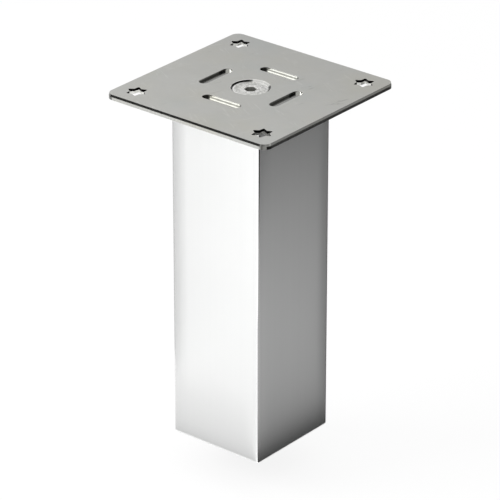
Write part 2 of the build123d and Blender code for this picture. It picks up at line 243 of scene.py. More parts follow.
class Nodes:
    """A node tree that is being filled in, with the sums that the finishes need."""

    def __init__(self, tree):
        self.tree = tree
        self.spot = None
        self.normal = None
        self.shader = None

    def feed(self, socket, value):
        """Link a socket to another one, or set its own value."""
        if isinstance(value, NodeSocket):
            self.tree.links.new(value, socket)
        else:
            socket.default_value = value

    def put(self, kind, inputs=(), **options):
        """Add a node with its options set and its inputs fed."""
        made = self.tree.nodes.new(kind)
        for name, value in options.items():
            setattr(made, name, value)
        for name, value in dict(inputs).items():
            self.feed(made.inputs[name], value)
        return made

    def shade(self, kind, inputs=()):
        """Add a shader that stands alone or mixes two."""
        return self.put("ShaderNode" + kind, inputs).outputs[0]

    def end(self, surface, kind="ShaderNodeOutputMaterial"):
        """Show the finished surface."""
        self.put(kind, {"Surface": surface})

    def maths(self, operation, *values, clamp=False):
        """One sum on numbers."""
        inputs = dict(enumerate(values))
        return self.put("ShaderNodeMath", inputs, operation=operation, use_clamp=clamp).outputs[0]

    plus = partialmethod(maths, "ADD")
    minus = partialmethod(maths, "SUBTRACT")
    rest = partialmethod(maths, "SUBTRACT", 1.0)
    per_metre = partialmethod(maths, "DIVIDE", 1.0)
    size = partialmethod(maths, "ABSOLUTE")
    most = partialmethod(maths, "MAXIMUM")
    least = partialmethod(maths, "MINIMUM")
    under = partialmethod(maths, "LESS_THAN")
    over = partialmethod(maths, "GREATER_THAN")

    def times(self, first, *others):
        for other in others:
            first = self.maths("MULTIPLY", first, other)
        return first

    def raised(self, value, mask, by):
        """A value that a mask raises, or lowers where the amount is negative."""
        return self.maths("MULTIPLY_ADD", mask, by, value)

    def waver(self, share, reach):
        """A share from 0 to 1 made to wander to both sides of nothing."""
        return self.times(self.minus(share, 0.5), reach)

    def vector(self, operation, *values):
        """One sum on vectors."""
        made = self.put("ShaderNodeVectorMath", dict(enumerate(values)), operation=operation)
        return made.outputs["Value" if operation in ("LENGTH", "DOT_PRODUCT") else "Vector"]

    def split(self, vector):
        return self.put("ShaderNodeSeparateXYZ", {"Vector": vector}).outputs

    def join(self, **parts):
        return self.put("ShaderNodeCombineXYZ", parts).outputs[0]

    def spread(self, value, low, high, to_low=0.0, to_high=1.0, soft=False):
        """Carry a value from one range to another, held at both ends."""
        inputs = {"Value": value, "From Min": low, "From Max": high, "To Min": to_low, "To Max": to_high}
        kind = "SMOOTHSTEP" if soft else "LINEAR"
        return self.put("ShaderNodeMapRange", inputs, interpolation_type=kind).outputs["Result"]

    def fade(self, value, low, high):
        """All of it up to the low end of a range, nothing past the high end."""
        return self.spread(value, low, high, 1.0, 0.0)

    def blend(self, share, low, high):
        """Go from one number to another by a share."""
        return self.put("ShaderNodeMix", {0: share, 2: low, 3: high}).outputs[0]

    def mix(self, share, below, above, blend="MIX"):
        """Lay one colour over another by a share."""
        made = self.put("ShaderNodeMix", {0: share, 6: below, 7: above}, data_type="RGBA", blend_type=blend)
        return made.outputs[2]

    def stain(self, colour, mask, by, strength, blend="MIX"):
        """Lay a colour over another one by a mask, at a strength."""
        return self.mix(self.times(mask, strength), colour, by, blend)

    tint = partialmethod(stain, blend="MULTIPLY")

    def noise(self, vector, scale, detail=2.0, roughness=0.5, distortion=0.0):
        inputs = {"Vector": vector, "Scale": scale, "Detail": detail, "Roughness": roughness,
                  "Distortion": distortion}
        return self.put("ShaderNodeTexNoise", inputs).outputs[0]

    def use(self, effect, **inputs):
        """Place a shared effect on this surface; spaces in its inputs' names are underscores here."""
        made = self.put("ShaderNodeGroup", {"Vector": self.spot}, node_tree=effect())
        for name, value in inputs.items():
            self.feed(made.inputs[name.replace("_", " ")], value)
        return made.outputs

    def relief(self, height, depth, strength=1.0, below=None):
        """A bump of a given depth in metres, on top of another one if there is one."""
        inputs = {"Height": height, "Distance": depth, "Strength": strength}
        if below is not None:
            inputs["Normal"] = below
        return self.put("ShaderNodeBump", inputs).outputs[0]

    def coat(self, colour, rough, normal):
        """Give the shader its colour, roughness and normal."""
        for label, value in (("Base Color", colour), ("Roughness", rough), ("Normal", normal)):
            self.feed(self.shader.inputs[label], value)


def emptied(owner):
    """The node tree of a material or a world, with nothing in it."""
    owner.use_nodes = True
    owner.node_tree.nodes.clear()
    return Nodes(owner.node_tree)


def shared_group(name, inputs, outputs):
    """Fill a group with named sockets once, and hand out the same one from then on."""
    def wrap(fill):
        def group():
            if name not in bpy.data.node_groups:
                made = bpy.data.node_groups.new(name, "ShaderNodeTree")
                for label, value in inputs.items():
                    kind = "Color" if isinstance(value, tuple) else "Float"
                    kind = "Vector" if value is None else kind
                    socket = made.interface.new_socket(label, in_out="INPUT", socket_type="NodeSocket" + kind)
                    if value is not None:
                        socket.default_value = value
                for label, kind in outputs.items():
                    made.interface.new_socket(label, in_out="OUTPUT", socket_type="NodeSocket" + kind)
                tree = Nodes(made)
                fill(tree, tree.put("NodeGroupInput").outputs, tree.put("NodeGroupOutput").inputs)
            return bpy.data.node_groups[name]
        return group
    return wrap


# Shared surface effects

@shared_group("Fine scratches", {"Vector": None, "Turn": 0.0, "Length": 0.03, "Spacing": 0.0012,
                                 "Width": 0.03, "Share": 0.5}, {"Mask": "Float"})
def fine_scratches(tree, given, out):
    """Long thin scratches in one direction, broken up by a slower pattern."""
    patches = (55.0, 140.0, 55.0)
    patch_edge = 0.08
    turned = tree.put("ShaderNodeVectorRotate", {"Vector": given["Vector"], "Angle": given["Turn"]},
                      rotation_type="Z_AXIS").outputs[0]
    along = tree.per_metre(given["Length"])
    steps = tree.join(X=along, Y=tree.per_metre(given["Spacing"]), Z=along)
    level = tree.noise(tree.vector("MULTIPLY", turned, steps), 1.0, detail=1.0)
    line = tree.fade(tree.size(tree.minus(level, 0.5)), 0.0, given["Width"])
    slow = tree.noise(tree.vector("MULTIPLY", turned, patches), 1.0)
    left_out = tree.rest(given["Share"])
    kept = tree.spread(slow, left_out, tree.plus(left_out, patch_edge))
    tree.feed(out["Mask"], tree.times(line, kept))


@shared_group("Hand smudges", {"Vector": None, "Size": 0.03}, {"Cloud": "Float"})
def hand_smudges(tree, given, out):
    """Soft cloudy patches left by handling."""
    scale = tree.per_metre(given["Size"])
    cloud = tree.noise(given["Vector"], scale, detail=5.0, roughness=0.55, distortion=0.5)
    tree.feed(out["Cloud"], tree.spread(cloud, 0.32, 0.7, soft=True))


@shared_group("Drawn lines", {"Vector": None, "Across X": 1000.0, "Across Y": 1000.0, "Across Z": 10.0},
              {"Height": "Float", "Streak": "Float"})
def drawn_lines(tree, given, out):
    """Fine lines along one direction, from rolling or drawing metal."""
    steps = tree.join(X=given["Across X"], Y=given["Across Y"], Z=given["Across Z"])
    along = tree.vector("MULTIPLY", given["Vector"], steps)
    for label, scale in (("Height", 1.0), ("Streak", 0.12)):
        tree.feed(out[label], tree.noise(along, scale, detail=3.0, roughness=0.6))


@shared_group("Specks", {"Vector": None, "Spacing": 0.004, "Size": 0.06, "Share": 0.3}, {"Mask": "Float"})
def specks(tree, given, out):
    """Scattered small dots, such as dust or pinholes."""
    cells = tree.put("ShaderNodeTexVoronoi", {"Vector": given["Vector"],
                                              "Scale": tree.per_metre(given["Spacing"])}).outputs
    chosen = tree.put("ShaderNodeSeparateColor", {"Color": cells["Color"]}).outputs
    dot = tree.under(cells["Distance"], tree.times(given["Size"], chosen["Green"]))
    tree.feed(out["Mask"], tree.times(dot, tree.under(chosen["Red"], given["Share"])))


@shared_group("Turned rings", {"Vector": None, "Pitch": 0.001}, {"Height": "Float", "Radius": "Float"})
def turned_rings(tree, given, out):
    """Rings round the leg's axis, from facing in a lathe."""
    wander = 1.5
    fine_lines = 9000.0
    radius = tree.vector("LENGTH", tree.vector("MULTIPLY", given["Vector"], (1.0, 1.0, 0.0)))
    turns = tree.times(tree.maths("DIVIDE", radius, given["Pitch"]), 2 * pi)
    wave = tree.maths("SINE", tree.raised(turns, tree.noise(given["Vector"], 300.0), by=wander))
    fine = tree.noise(tree.join(X=tree.times(radius, fine_lines)), 1.0)
    tree.feed(out["Height"], tree.raised(fine, wave, by=0.5))
    tree.feed(out["Radius"], radius)


@shared_group("Moulded grain", {"Vector": None, "Grain": 0.0004}, {"Height": "Float", "Fibres": "Float"})
def moulded_grain(tree, given, out):
    """Spark-eroded grain with short glass fibres near the surface."""
    fibre_steps = (3600.0, 520.0, 520.0)
    grain = tree.noise(given["Vector"], tree.per_metre(given["Grain"]), detail=3.0, roughness=0.6)
    tree.feed(out["Height"], grain)
    wander = tree.put("ShaderNodeTexNoise", {"Vector": given["Vector"], "Scale": 120.0}).outputs["Color"]
    bent = tree.vector("ADD", given["Vector"], wander)
    fibres = tree.noise(tree.vector("MULTIPLY", bent, fibre_steps), 1.0, detail=1.0)
    tree.feed(out["Fibres"], tree.spread(fibres, 0.68, 0.76))


@shared_group("Zinc plating", {"Vector": None, "Colour": (0.6, 0.6, 0.58, 1.0), "Drift": 0.3, "Size": 0.02},
              {"Colour": "Color"})
def zinc_plating(tree, given, out):
    """The slight warm and blue drift of bright zinc over its own colour."""
    elsewhere = (0.31, 0.17, 0.05)
    scale = tree.per_metre(given["Size"])
    warm = tree.spread(tree.noise(given["Vector"], scale, detail=3.0), 0.45, 0.75, soft=True)
    shifted = tree.vector("ADD", given["Vector"], elsewhere)
    blue = tree.spread(tree.noise(shifted, scale, detail=3.0), 0.5, 0.8, soft=True)
    colour = tree.tint(given["Colour"], warm, ZINC_WARM, given["Drift"])
    tree.feed(out["Colour"], tree.tint(colour, blue, ZINC_BLUE, given["Drift"]))


# Materials

def rgba(colour):
    return (*colour, 1.0)


def new_material(name, metallic, **constants):
    """A material with a bare Principled shader; the constants go on its own sockets."""
    material = bpy.data.materials.new(name)
    tree = emptied(material)
    place = tree.put("ShaderNodeTexCoord").outputs
    tree.spot = place["Object"]
    tree.normal = place["Normal"]
    tree.shader = tree.put("ShaderNodeBsdfPrincipled", {"Metallic": metallic})
    for label, value in constants.items():
        tree.shader.inputs[label.replace("_", " ")].default_value = value
    tree.end(tree.shader.outputs[0])
    return material, tree


def shaded_arc(tree, around):
    """The side of the screw's head and its countersink that is painted dark as shade."""
    middle = (0.914, 0.407, 0.0)
    return tree.spread(tree.vector("DOT_PRODUCT", around, middle), 0.82, 0.9)


def plate_material(settings):
    """Rolled zinc-plated sheet, with burnished cuts, painted shade in its hollows and at its edge's corners,
    painted highlights in the countersink and recesses, and the marks of handling.
    """
    material, tree = new_material("Zinc-plated plate", 1.0)
    spot = tree.spot
    at = tree.split(spot)
    out_x = tree.size(at["X"])
    out_y = tree.size(at["Y"])
    flat = tree.join(X=at["X"], Y=at["Y"])
    radius = tree.vector("LENGTH", flat)
    around = tree.vector("NORMALIZE", flat)
    upward = tree.size(tree.split(tree.normal)["Z"])
    wall = tree.fade(upward, 0.3, 0.6)

    # inside of the star holes: the upper wall, above a ragged line, is painted near-black as shade; the wall
    # below it is lighter
    middle = PLATE_HIGH.x - settings.star_margin
    off_middle = tree.join(X=tree.minus(out_x, middle), Y=tree.minus(out_y, middle))
    punched = tree.times(tree.under(tree.vector("LENGTH", off_middle), settings.star_reach), wall)
    ragged = tree.waver(tree.noise(spot, 900.0), settings.ragged)
    drop = tree.plus(tree.minus(PLATE_HIGH.z, at["Z"]), ragged)
    smooth_part = tree.under(drop, settings.sheared_height)
    shaded_star_wall = tree.mix(smooth_part, rgba(settings.torn), rgba(settings.sheared))

    # inside of the recesses and the countersink
    skin = 0.00005  # a point this far below the top face is in a hollow
    below = tree.under(at["Z"], PLATE_HIGH.z - skin)
    cone = tree.times(below, tree.under(radius, settings.mouth + 2 * skin))
    inside = tree.times(below, tree.under(tree.most(out_x, out_y), settings.recess_reach))
    pressed = tree.minus(inside, cone, clamp=True)

    # painted shade in the countersink on two sides, and a painted highlight round its mouth
    other_arc = (-0.987, -0.165, 0.0)
    lip_start, lip_end = settings.mouth - 0.00026, settings.mouth - 0.00014
    # painted highlight: a bright ring just inside the countersink's mouth
    lip = tree.spread(radius, lip_start, lip_end)
    ragged_arc = tree.waver(tree.noise(spot, 500.0), 0.5)
    left = tree.plus(tree.vector("DOT_PRODUCT", around, other_arc), ragged_arc)
    left = tree.times(tree.spread(left, 0.4, 0.5), tree.rest(lip))
    dark = tree.most(left, shaded_arc(tree, around))

    # painted shade in the recesses: on their floors, at one end of their walls and where walls meet floors
    # each pair holds the two ends of a soft edge
    seam_depth = settings.recess_depth - 0.0002
    seam_width = (0.0001, 0.0005)
    shaded_from, bright_from = (0.0055, 0.0065), (0.0109, 0.0113)
    shaded_up_to = (-0.0112, -0.0106)
    from_seam = tree.size(tree.minus(drop, seam_depth))
    seam_shade = tree.times(pressed, wall, tree.fade(from_seam, *seam_width))
    along_y = tree.over(out_x, out_y)
    bright_end = tree.spread(at["Y"], *bright_from)
    far_end = tree.times(tree.spread(at["Y"], *shaded_from), tree.rest(bright_end))
    near_end = tree.fade(at["X"], *shaded_up_to)
    # painted highlight on the walls at the +Y end of the recesses that run along Y
    tip_highlight = tree.times(pressed, along_y, wall, bright_end)
    wall_end_shade = tree.times(tree.blend(along_y, near_end, far_end), 0.92)
    recess_shade = tree.times(pressed, tree.blend(wall, settings.recess_floor_shade, wall_end_shade))

    # rolling, shearing and handling
    cloud = tree.use(hand_smudges, Size=0.028)["Cloud"]
    rolled = tree.use(drawn_lines, Across_X=40.0, Across_Y=2400.0, Across_Z=2400.0)
    sheared = tree.use(drawn_lines, Across_X=3200.0, Across_Y=3200.0, Across_Z=120.0)
    long_marks = tree.use(fine_scratches, Turn=0.5, Length=0.035, Spacing=0.0016, Width=0.03,
                          Share=0.42)["Mask"]
    short_marks = tree.use(fine_scratches, Turn=2.1, Length=0.016, Spacing=0.0011, Width=0.035,
                           Share=0.4)["Mask"]
    deep_marks = tree.use(fine_scratches, Turn=-1.27, Length=0.03, Spacing=0.0028, Width=0.016,
                          Share=0.36)["Mask"]
    marks = tree.times(tree.most(long_marks, short_marks), settings.scratches)
    dust = tree.use(specks, Spacing=0.0055, Size=0.085, Share=0.25)["Mask"]
    # painted shade on the plate's edge close to each corner, streaked
    corner_start = min(PLATE_HIGH.x, PLATE_HIGH.y) - settings.corner_reach
    shaded_corners = tree.spread(tree.least(out_x, out_y), corner_start, corner_start + settings.corner_reach / 3)
    shaded_corners = tree.times(wall, shaded_corners, tree.spread(sheared["Streak"], 0.35, 0.6, 0.6, 0.95))
    streaked = tree.times(wall, tree.spread(sheared["Height"], 0.4, 0.65))

    colour = tree.use(zinc_plating, Colour=rgba(settings.colour), Drift=0.35, Size=0.03)["Colour"]
    colour = tree.tint(colour, cloud, ZINC_SMUDGED, strength=0.25)
    colour = tree.stain(colour, marks, ZINC_SCRATCHED, strength=0.6)
    colour = tree.stain(colour, deep_marks, ZINC_GOUGED, strength=settings.scratches)
    colour = tree.stain(colour, dust, DUST, strength=0.5)
    # the painted shade at the corners of the edge
    colour = tree.mix(shaded_corners, colour, rgba(settings.corner))
    colour = tree.stain(colour, streaked, SHEAR_STREAK, strength=0.3)
    # painted shade along the creases of the recesses
    colour = tree.stain(colour, seam_shade, RECESS_SEAM_SHADE, strength=0.8)
    # painted highlight at the far ends of the recesses, then the painted shade of the recesses
    colour = tree.mix(tip_highlight, colour, rgba(settings.lip))
    colour = tree.mix(recess_shade, colour, rgba(settings.dirt))
    turned = tree.mix(lip, rgba(settings.countersink), rgba(settings.lip))
    # the countersink's cone: painted shade on two sides, a painted highlight round its mouth
    colour = tree.mix(cone, colour, tree.mix(dark, turned, rgba(settings.dirt)))
    # the star holes' walls, with the painted shade on their upper part
    colour = tree.mix(punched, colour, shaded_star_wall)

    rough = tree.raised(settings.satin, cloud, by=0.08)
    rough = tree.raised(rough, marks, by=-0.12)
    smooth = tree.raised(settings.burnished, punched, by=0.3)
    rubbed = tree.most(wall, tree.most(pressed, cone))
    rough = tree.blend(rubbed, rough, smooth)

    grain = tree.times(rolled["Height"], tree.rest(wall))
    grain = tree.raised(grain, tree.times(sheared["Height"], wall), by=3.0)
    grain = tree.raised(grain, marks, by=-1.5)
    tree.coat(colour, rough, tree.relief(grain, depth=0.000008, strength=0.6))
    return material


def screw_material(settings):
    """Bright zinc over a turned and peened head, with its socket oiled, painted shade on one side of the
    head's rim and a rolled thread.
    """
    material, tree = new_material("Bright zinc screw", 1.0)
    spot = tree.spot
    at = tree.split(spot)

    # the faced top of the head, its socket and rim, and the shank below it
    skin = 0.0001  # a point this far below the top of the head is in the socket
    rings = tree.use(turned_rings, Pitch=settings.ring_pitch)
    upward = tree.over(tree.split(tree.normal)["Z"], 0.9)
    faced = tree.times(upward, tree.over(at["Z"], SCREW_HIGH.z - 2 * skin))
    below = tree.under(at["Z"], SCREW_HIGH.z - skin)
    socket = tree.times(below, tree.under(rings["Radius"], settings.socket_reach))
    shank = tree.under(at["Z"], SCREW_HIGH.z - settings.head_height)
    thread = tree.use(drawn_lines, Across_X=12.0, Across_Y=12.0, Across_Z=2100.0)
    marks = tree.use(fine_scratches, Turn=1.1, Length=0.008, Spacing=0.0007, Width=0.04,
                     Share=0.4)["Mask"]
    cloud = tree.use(hand_smudges, Size=0.006)["Cloud"]
    rim_in, shade_in, rim_out = (SCREW_HIGH.x - width for width in (0.0008, 0.0006, 0.0004))
    rim = tree.spread(rings["Radius"], rim_in, rim_out)
    inner = tree.times(faced, tree.rest(rim))

    # a dull band between bright rings, with ragged edges
    band_start, band_end = (0.0052, 0.0061), (0.0082, 0.009)
    patchy = tree.plus(rings["Radius"], tree.waver(cloud, 0.0012))
    band = tree.times(tree.spread(patchy, *band_start), tree.fade(patchy, *band_end), faced)
    ringed = tree.times(inner, tree.fade(rings["Height"], 0.1, 1.0))
    peened = tree.times(inner, tree.spread(tree.noise(spot, 850.0, detail=3.0, roughness=0.7), 0.48, 0.57))
    smudged = tree.times(tree.rest(rim), cloud)
    around = tree.vector("NORMALIZE", tree.join(X=at["X"], Y=at["Y"]))
    # painted shade on one side of the head's rim
    darkened = tree.times(shaded_arc(tree, around), tree.spread(rings["Radius"], shade_in, rim_out))

    colour = tree.use(zinc_plating, Colour=rgba(settings.colour), Drift=0.3, Size=0.009)["Colour"]
    colour = tree.stain(colour, band, rgba(settings.dull), strength=0.35)
    colour = tree.stain(colour, ringed, HEAD_RING, strength=0.22)
    colour = tree.stain(colour, peened, HEAD_PEENED, strength=0.8)
    colour = tree.tint(colour, smudged, HEAD_SMUDGED, strength=0.2)
    # lay the painted shade on the rim, in the socket's colour
    colour = tree.mix(darkened, colour, rgba(settings.socket))
    colour = tree.mix(socket, colour, rgba(settings.socket))

    rough = tree.raised(settings.satin, cloud, by=0.1)
    rough = tree.raised(rough, socket, by=0.2)
    rough = tree.raised(rough, marks, by=-0.08)

    height = tree.times(rings["Height"], faced)
    height = tree.raised(height, marks, by=-0.4)
    height = tree.plus(height, tree.times(thread["Height"], shank))
    tree.coat(colour, rough, tree.relief(height, depth=0.00001, strength=0.8))
    return material


def tube_material(settings):
    """Drawn aluminium, a little crowned across each face, with a highlight painted white and less roughness
    along its upright edges.
    """
    material, tree = new_material("Drawn aluminium tube", 1.0)
    half = TUBE_HIGH.x
    drawn = tree.use(drawn_lines, Across_X=2600.0, Across_Y=2600.0, Across_Z=7.0)
    cloud = tree.use(hand_smudges, Size=0.045)["Cloud"]
    streak = tree.spread(drawn["Streak"], 0.35, 0.7)
    at = tree.split(tree.spot)
    across = [tree.size(at[axis]) for axis in ("X", "Y")]
    arris = tree.spread(tree.least(*across), half - settings.arris, half - settings.arris / 2)

    colour = tree.stain(rgba(settings.colour), streak, TUBE_STREAK, strength=0.06)
    colour = tree.tint(colour, cloud, TUBE_SMUDGED, strength=0.1)
    # painted highlight: white along the upright edges
    colour = tree.mix(arris, colour, WHITE)

    rough = tree.raised(settings.satin, cloud, by=0.012)
    rough = tree.raised(rough, streak, by=0.012)
    rough = tree.blend(arris, rough, settings.polished)

    crowned = 0.0
    for width, lean in ((settings.crown, settings.fall), (settings.arris, settings.roll)):
        for place_across in across:
            past = tree.most(tree.minus(place_across, half - width), 0.0)
            crowned = tree.raised(crowned, tree.maths("POWER", past, 2.0), by=-lean / (2 * width))
    leaning = tree.relief(crowned, depth=1.0)
    line_depth = 0.000005 * settings.lines
    tree.coat(colour, rough, tree.relief(drawn["Height"], line_depth, strength=0.5, below=leaning))
    return material


def nut_material(settings):
    """Zinc-plated steel, drawn along its flats and faced on its ends."""
    material, tree = new_material("Zinc-plated nut", 1.0)
    rings = tree.use(turned_rings, Pitch=0.0007)
    drawn = tree.use(drawn_lines, Across_X=1500.0, Across_Y=1500.0, Across_Z=90.0)
    cloud = tree.use(hand_smudges, Size=0.007)["Cloud"]
    colour = tree.use(zinc_plating, Colour=rgba(settings.colour), Drift=0.6, Size=0.008)["Colour"]
    colour = tree.tint(colour, cloud, NUT_SMUDGED, strength=0.3)
    rough = tree.raised(settings.satin, cloud, by=0.14)
    height = tree.raised(drawn["Height"], rings["Height"], by=0.4)
    tree.coat(colour, rough, tree.relief(height, depth=0.00001, strength=0.7))
    return material


def moulded_material(name, colour, settings, worn=False):
    """Black nylon with a fine matt grain; a worn one is scuffed pale where it stands on the floor."""
    material, tree = new_material(name, 0.0, Specular_IOR_Level=0.45)
    grain = tree.use(moulded_grain, Grain=settings.grain)
    cloud = tree.use(hand_smudges, Size=0.015)["Cloud"]
    skin = tree.stain(rgba(colour), grain["Fibres"], GLASS_FIBRE, strength=0.35)
    skin = tree.stain(skin, cloud, NYLON_BLOOM, strength=0.35)
    rough = tree.raised(settings.matt, cloud, by=0.14)
    height = grain["Height"]
    if worn:
        low = tree.fade(tree.split(tree.spot)["Z"], PAD_LOW.z, PAD_LOW.z + settings.worn_height)
        one_way = tree.use(fine_scratches, Turn=0.9, Length=0.012, Spacing=0.0009, Width=0.07,
                           Share=0.55)["Mask"]
        other_way = tree.use(fine_scratches, Turn=2.5, Length=0.009, Spacing=0.0012, Width=0.06,
                             Share=0.5)["Mask"]
        scuffs = tree.most(tree.most(one_way, other_way), tree.times(cloud, 0.6))
        scuffed = tree.times(low, scuffs)
        skin = tree.mix(scuffed, skin, rgba(settings.worn_colour))
        rough = tree.raised(rough, scuffed, by=0.2)
        height = tree.raised(height, scuffed, by=-0.6)
    tree.coat(skin, rough, tree.relief(height, depth=0.00003, strength=0.6))
    return material


def spindle_material(settings):
    """Zinc-plated steel with grease in the root of its thread."""
    material, tree = new_material("Zinc-plated spindle", 1.0)
    rings = tree.use(turned_rings, Pitch=0.0006)
    cloud = tree.use(hand_smudges, Size=0.006)["Cloud"]
    threaded = tree.over(tree.split(tree.spot)["Z"], settings.collar_high)
    root = tree.fade(rings["Radius"], settings.crest - settings.depth, settings.crest - 0.3 * settings.depth)
    greased = tree.times(threaded, root, tree.spread(cloud, 0.1, 0.8, 0.45, 0.95))
    colour = tree.use(zinc_plating, Colour=rgba(settings.colour), Drift=0.5, Size=0.008)["Colour"]
    colour = tree.tint(colour, cloud, SPINDLE_SMUDGED, strength=0.25)
    colour = tree.mix(greased, colour, rgba(settings.grease))
    rough = tree.raised(settings.satin, cloud, by=0.12)
    rough = tree.raised(rough, greased, by=0.15)
    tree.coat(colour, rough, tree.relief(rings["Height"], depth=0.000006, strength=0.5))
    return material


def dress(material, *nodes):
    """Give some solids their finish."""
    for node in nodes:
        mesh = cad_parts[node].data
        mesh.materials.clear()
        mesh.materials.append(material)


# Levelling spindle

def boundary(shape, height):
    """Open edges of a shape that lie at a height."""
    return [e for e in shape.edges
            if e.is_boundary and all(abs(v.co.z - height) < SAME_POINT for v in e.verts)]


def chain(shape, outline):
    """Points and edges along an outline of radius and height."""
    points = [shape.verts.new((radius, 0.0, height)) for radius, height in outline]
    return points + [shape.edges.new(pair) for pair in zip(points, points[1:])]


def hexagon_place(height):
    """Where a hexagon lies at a height on the axis, turned by half of one side's angle."""
    return Matrix.Translation((0, 0, height)) @ Matrix.Rotation(pi / HEXAGON, 4, "Z")


def hexagon_reach(flats):
    """Middle to corners of a hexagon, from its size across flats."""
    return flats / 2 / cos(pi / HEXAGON)


def add_thread(shape, settings):
    """A right-hand thread: one tooth's outline spun up the axis and cut off level at both ends."""
    low = settings.collar_high - settings.thread_root
    high = SPINDLE_HIGH.z
    pitch = settings.pitch
    crest = settings.crest
    root = crest - settings.depth
    start = low - 2 * pitch
    tooth = ((root, -1 / 8), (root, 1 / 8), (crest, 7 / 16), (crest, 9 / 16), (root, 7 / 8))
    outline = chain(shape, [(radius, start + share * pitch) for radius, share in tooth])
    turns = int((high - start) / pitch) + 2
    bmesh.ops.spin(shape, geom=outline, cent=(0, 0, 0), axis=(0, 0, 1), dvec=(0, 0, pitch / settings.steps),
                   angle=2 * pi * turns, steps=settings.steps * turns, use_merge=False)
    bmesh.ops.remove_doubles(shape, verts=shape.verts, dist=SAME_POINT)
    for height, normal in ((low, (0, 0, -1)), (high, (0, 0, 1))):
        bmesh.ops.bisect_plane(shape, geom=shape.verts[:] + shape.edges[:] + shape.faces[:], dist=CUT_SLACK,
                               plane_co=(0, 0, height), plane_no=normal, clear_outer=True)
    for vert in shape.verts:
        limit = crest - max(0.0, vert.co.z - (high - settings.lead_in))
        radius = vert.co.xy.length
        if radius > limit:
            vert.co.xy *= limit / radius
    for height in (low, high):
        bmesh.ops.holes_fill(shape, edges=boundary(shape, height), sides=0)


def add_collar(shape, settings):
    """The hexagon collar, with its corners broken."""
    height = settings.collar_high - settings.collar_low
    reach = hexagon_reach(settings.collar_flats)
    made = bmesh.ops.create_cone(shape, cap_ends=True, segments=HEXAGON, radius1=reach, radius2=reach,
                                 depth=height, matrix=hexagon_place(settings.collar_low + height / 2))
    edges = {e for v in made["verts"] for e in v.link_edges}
    bmesh.ops.bevel(shape, geom=list(edges), offset=settings.collar_break, offset_type="OFFSET",
                    affect="EDGES", segments=2, profile=0.5, material=-1)


def add_snap_end(shape, settings):
    """The neck and snap-in bead, with the key socket sunk into their lower end."""
    low = SPINDLE_LOW.z
    top = settings.collar_low + settings.neck_root
    bead = settings.bead
    neck = settings.neck
    bead_top = low + settings.bead_height
    chamfer = settings.bead_chamfer
    soft = settings.bead_round
    outline = chain(shape, ((bead - chamfer, low), (bead, low + chamfer), (bead, bead_top - soft),
                            (bead - soft, bead_top), (neck + soft, bead_top), (neck, bead_top + soft),
                            (neck, top)))
    bmesh.ops.spin(shape, geom=outline, cent=(0, 0, 0), axis=(0, 0, 1), angle=2 * pi, steps=ROUND_STEPS,
                   use_merge=True)
    bmesh.ops.holes_fill(shape, edges=boundary(shape, top), sides=0)

    mouth = boundary(shape, low)
    ring = bmesh.ops.create_circle(shape, cap_ends=False, segments=HEXAGON, matrix=hexagon_place(low),
                                   radius=hexagon_reach(settings.key))
    sides = list({e for v in ring["verts"] for e in v.link_edges})
    bmesh.ops.subdivide_edges(shape, edges=sides, cuts=ROUND_STEPS // HEXAGON - 1)
    hexagon = [e for e in boundary(shape, low) + [e for e in shape.edges if e.is_wire] if e not in mouth]
    bmesh.ops.bridge_loops(shape, edges=mouth + hexagon)
    walls = bmesh.ops.extrude_edge_only(shape, edges=hexagon)
    deep = [g for g in walls["geom"] if isinstance(g, bmesh.types.BMVert)]
    bmesh.ops.translate(shape, verts=deep, vec=(0, 0, settings.key_depth))
    bmesh.ops.holes_fill(shape, edges=boundary(shape, low + settings.key_depth), sides=0)


def build_spindle(settings):
    """The whole spindle as one mesh of closed shells."""
    shape = bmesh.new()
    for add in (add_thread, add_collar, add_snap_end):
        part = bmesh.new()
        add(part, settings)
        bmesh.ops.remove_doubles(part, verts=part.verts, dist=CUT_SLACK)
        bmesh.ops.recalc_face_normals(part, faces=part.faces)
        kept = bpy.data.meshes.new("Spindle shell")
        part.to_mesh(kept)
        part.free()
        shape.from_mesh(kept)
        bpy.data.meshes.remove(kept)
    mesh = bpy.data.meshes.new("levelling_spindle")
    shape.to_mesh(mesh)
    shape.free()
    mesh.shade_smooth()
    mesh.set_sharp_from_angle(angle=CREASE)
    piece = bpy.data.objects.new("levelling_spindle", mesh)
    bpy.context.scene.collection.objects.link(piece)
    return piece


# Stage

def flat_card(name, corners, material):
    """A four-cornered card that isn't part of the leg."""
    shape = bmesh.new()
    shape.faces.new([shape.verts.new(corner) for corner in corners])
    mesh = bpy.data.meshes.new(name)
    shape.to_mesh(mesh)
    shape.free()
    mesh.materials.append(material)
    card = bpy.data.objects.new(name, mesh)
    bpy.context.scene.collection.objects.link(card)
    return card


def reflection_card(name, corners, along, stops, beyond=0.0):
    """A card that only reflections see, from beyond a distance.

    Its grey runs along a direction, by stops of place and level.
    """
    material = bpy.data.materials.new(name)
    tree = emptied(material)
    at = tree.vector("DOT_PRODUCT", tree.put("ShaderNodeTexCoord").outputs["Object"], along)
    first, last = stops[0][0], stops[-1][0]
    shade = tree.put("ShaderNodeValToRGB", {"Fac": tree.spread(at, first, last)})
    ramp = shade.color_ramp.elements
    while len(ramp) < len(stops):
        ramp.new(1.0)
    for element, (where, level) in zip(ramp, stops):
        element.position = (where - first) / (last - first)
        element.color = (level, level, level, 1.0)
    far = tree.over(tree.put("ShaderNodeLightPath").outputs["Ray Length"], beyond)
    clear = tree.shade("BsdfTransparent")
    light = tree.shade("Emission", {"Color": shade.outputs["Color"], "Strength": 1.0})
    tree.end(tree.shade("MixShader", {0: far, 1: clear, 2: light}))
    card = flat_card(name, corners, material)
    card.visible_camera = False
    card.visible_diffuse = False
    card.visible_transmission = False
    card.visible_shadow = False


def level_card(name, height, corners, along, stops, beyond=0.0):
    """A reflection card lying level at a height."""
    reflection_card(name, [(x, y, height) for x, y in corners], along, stops, beyond)


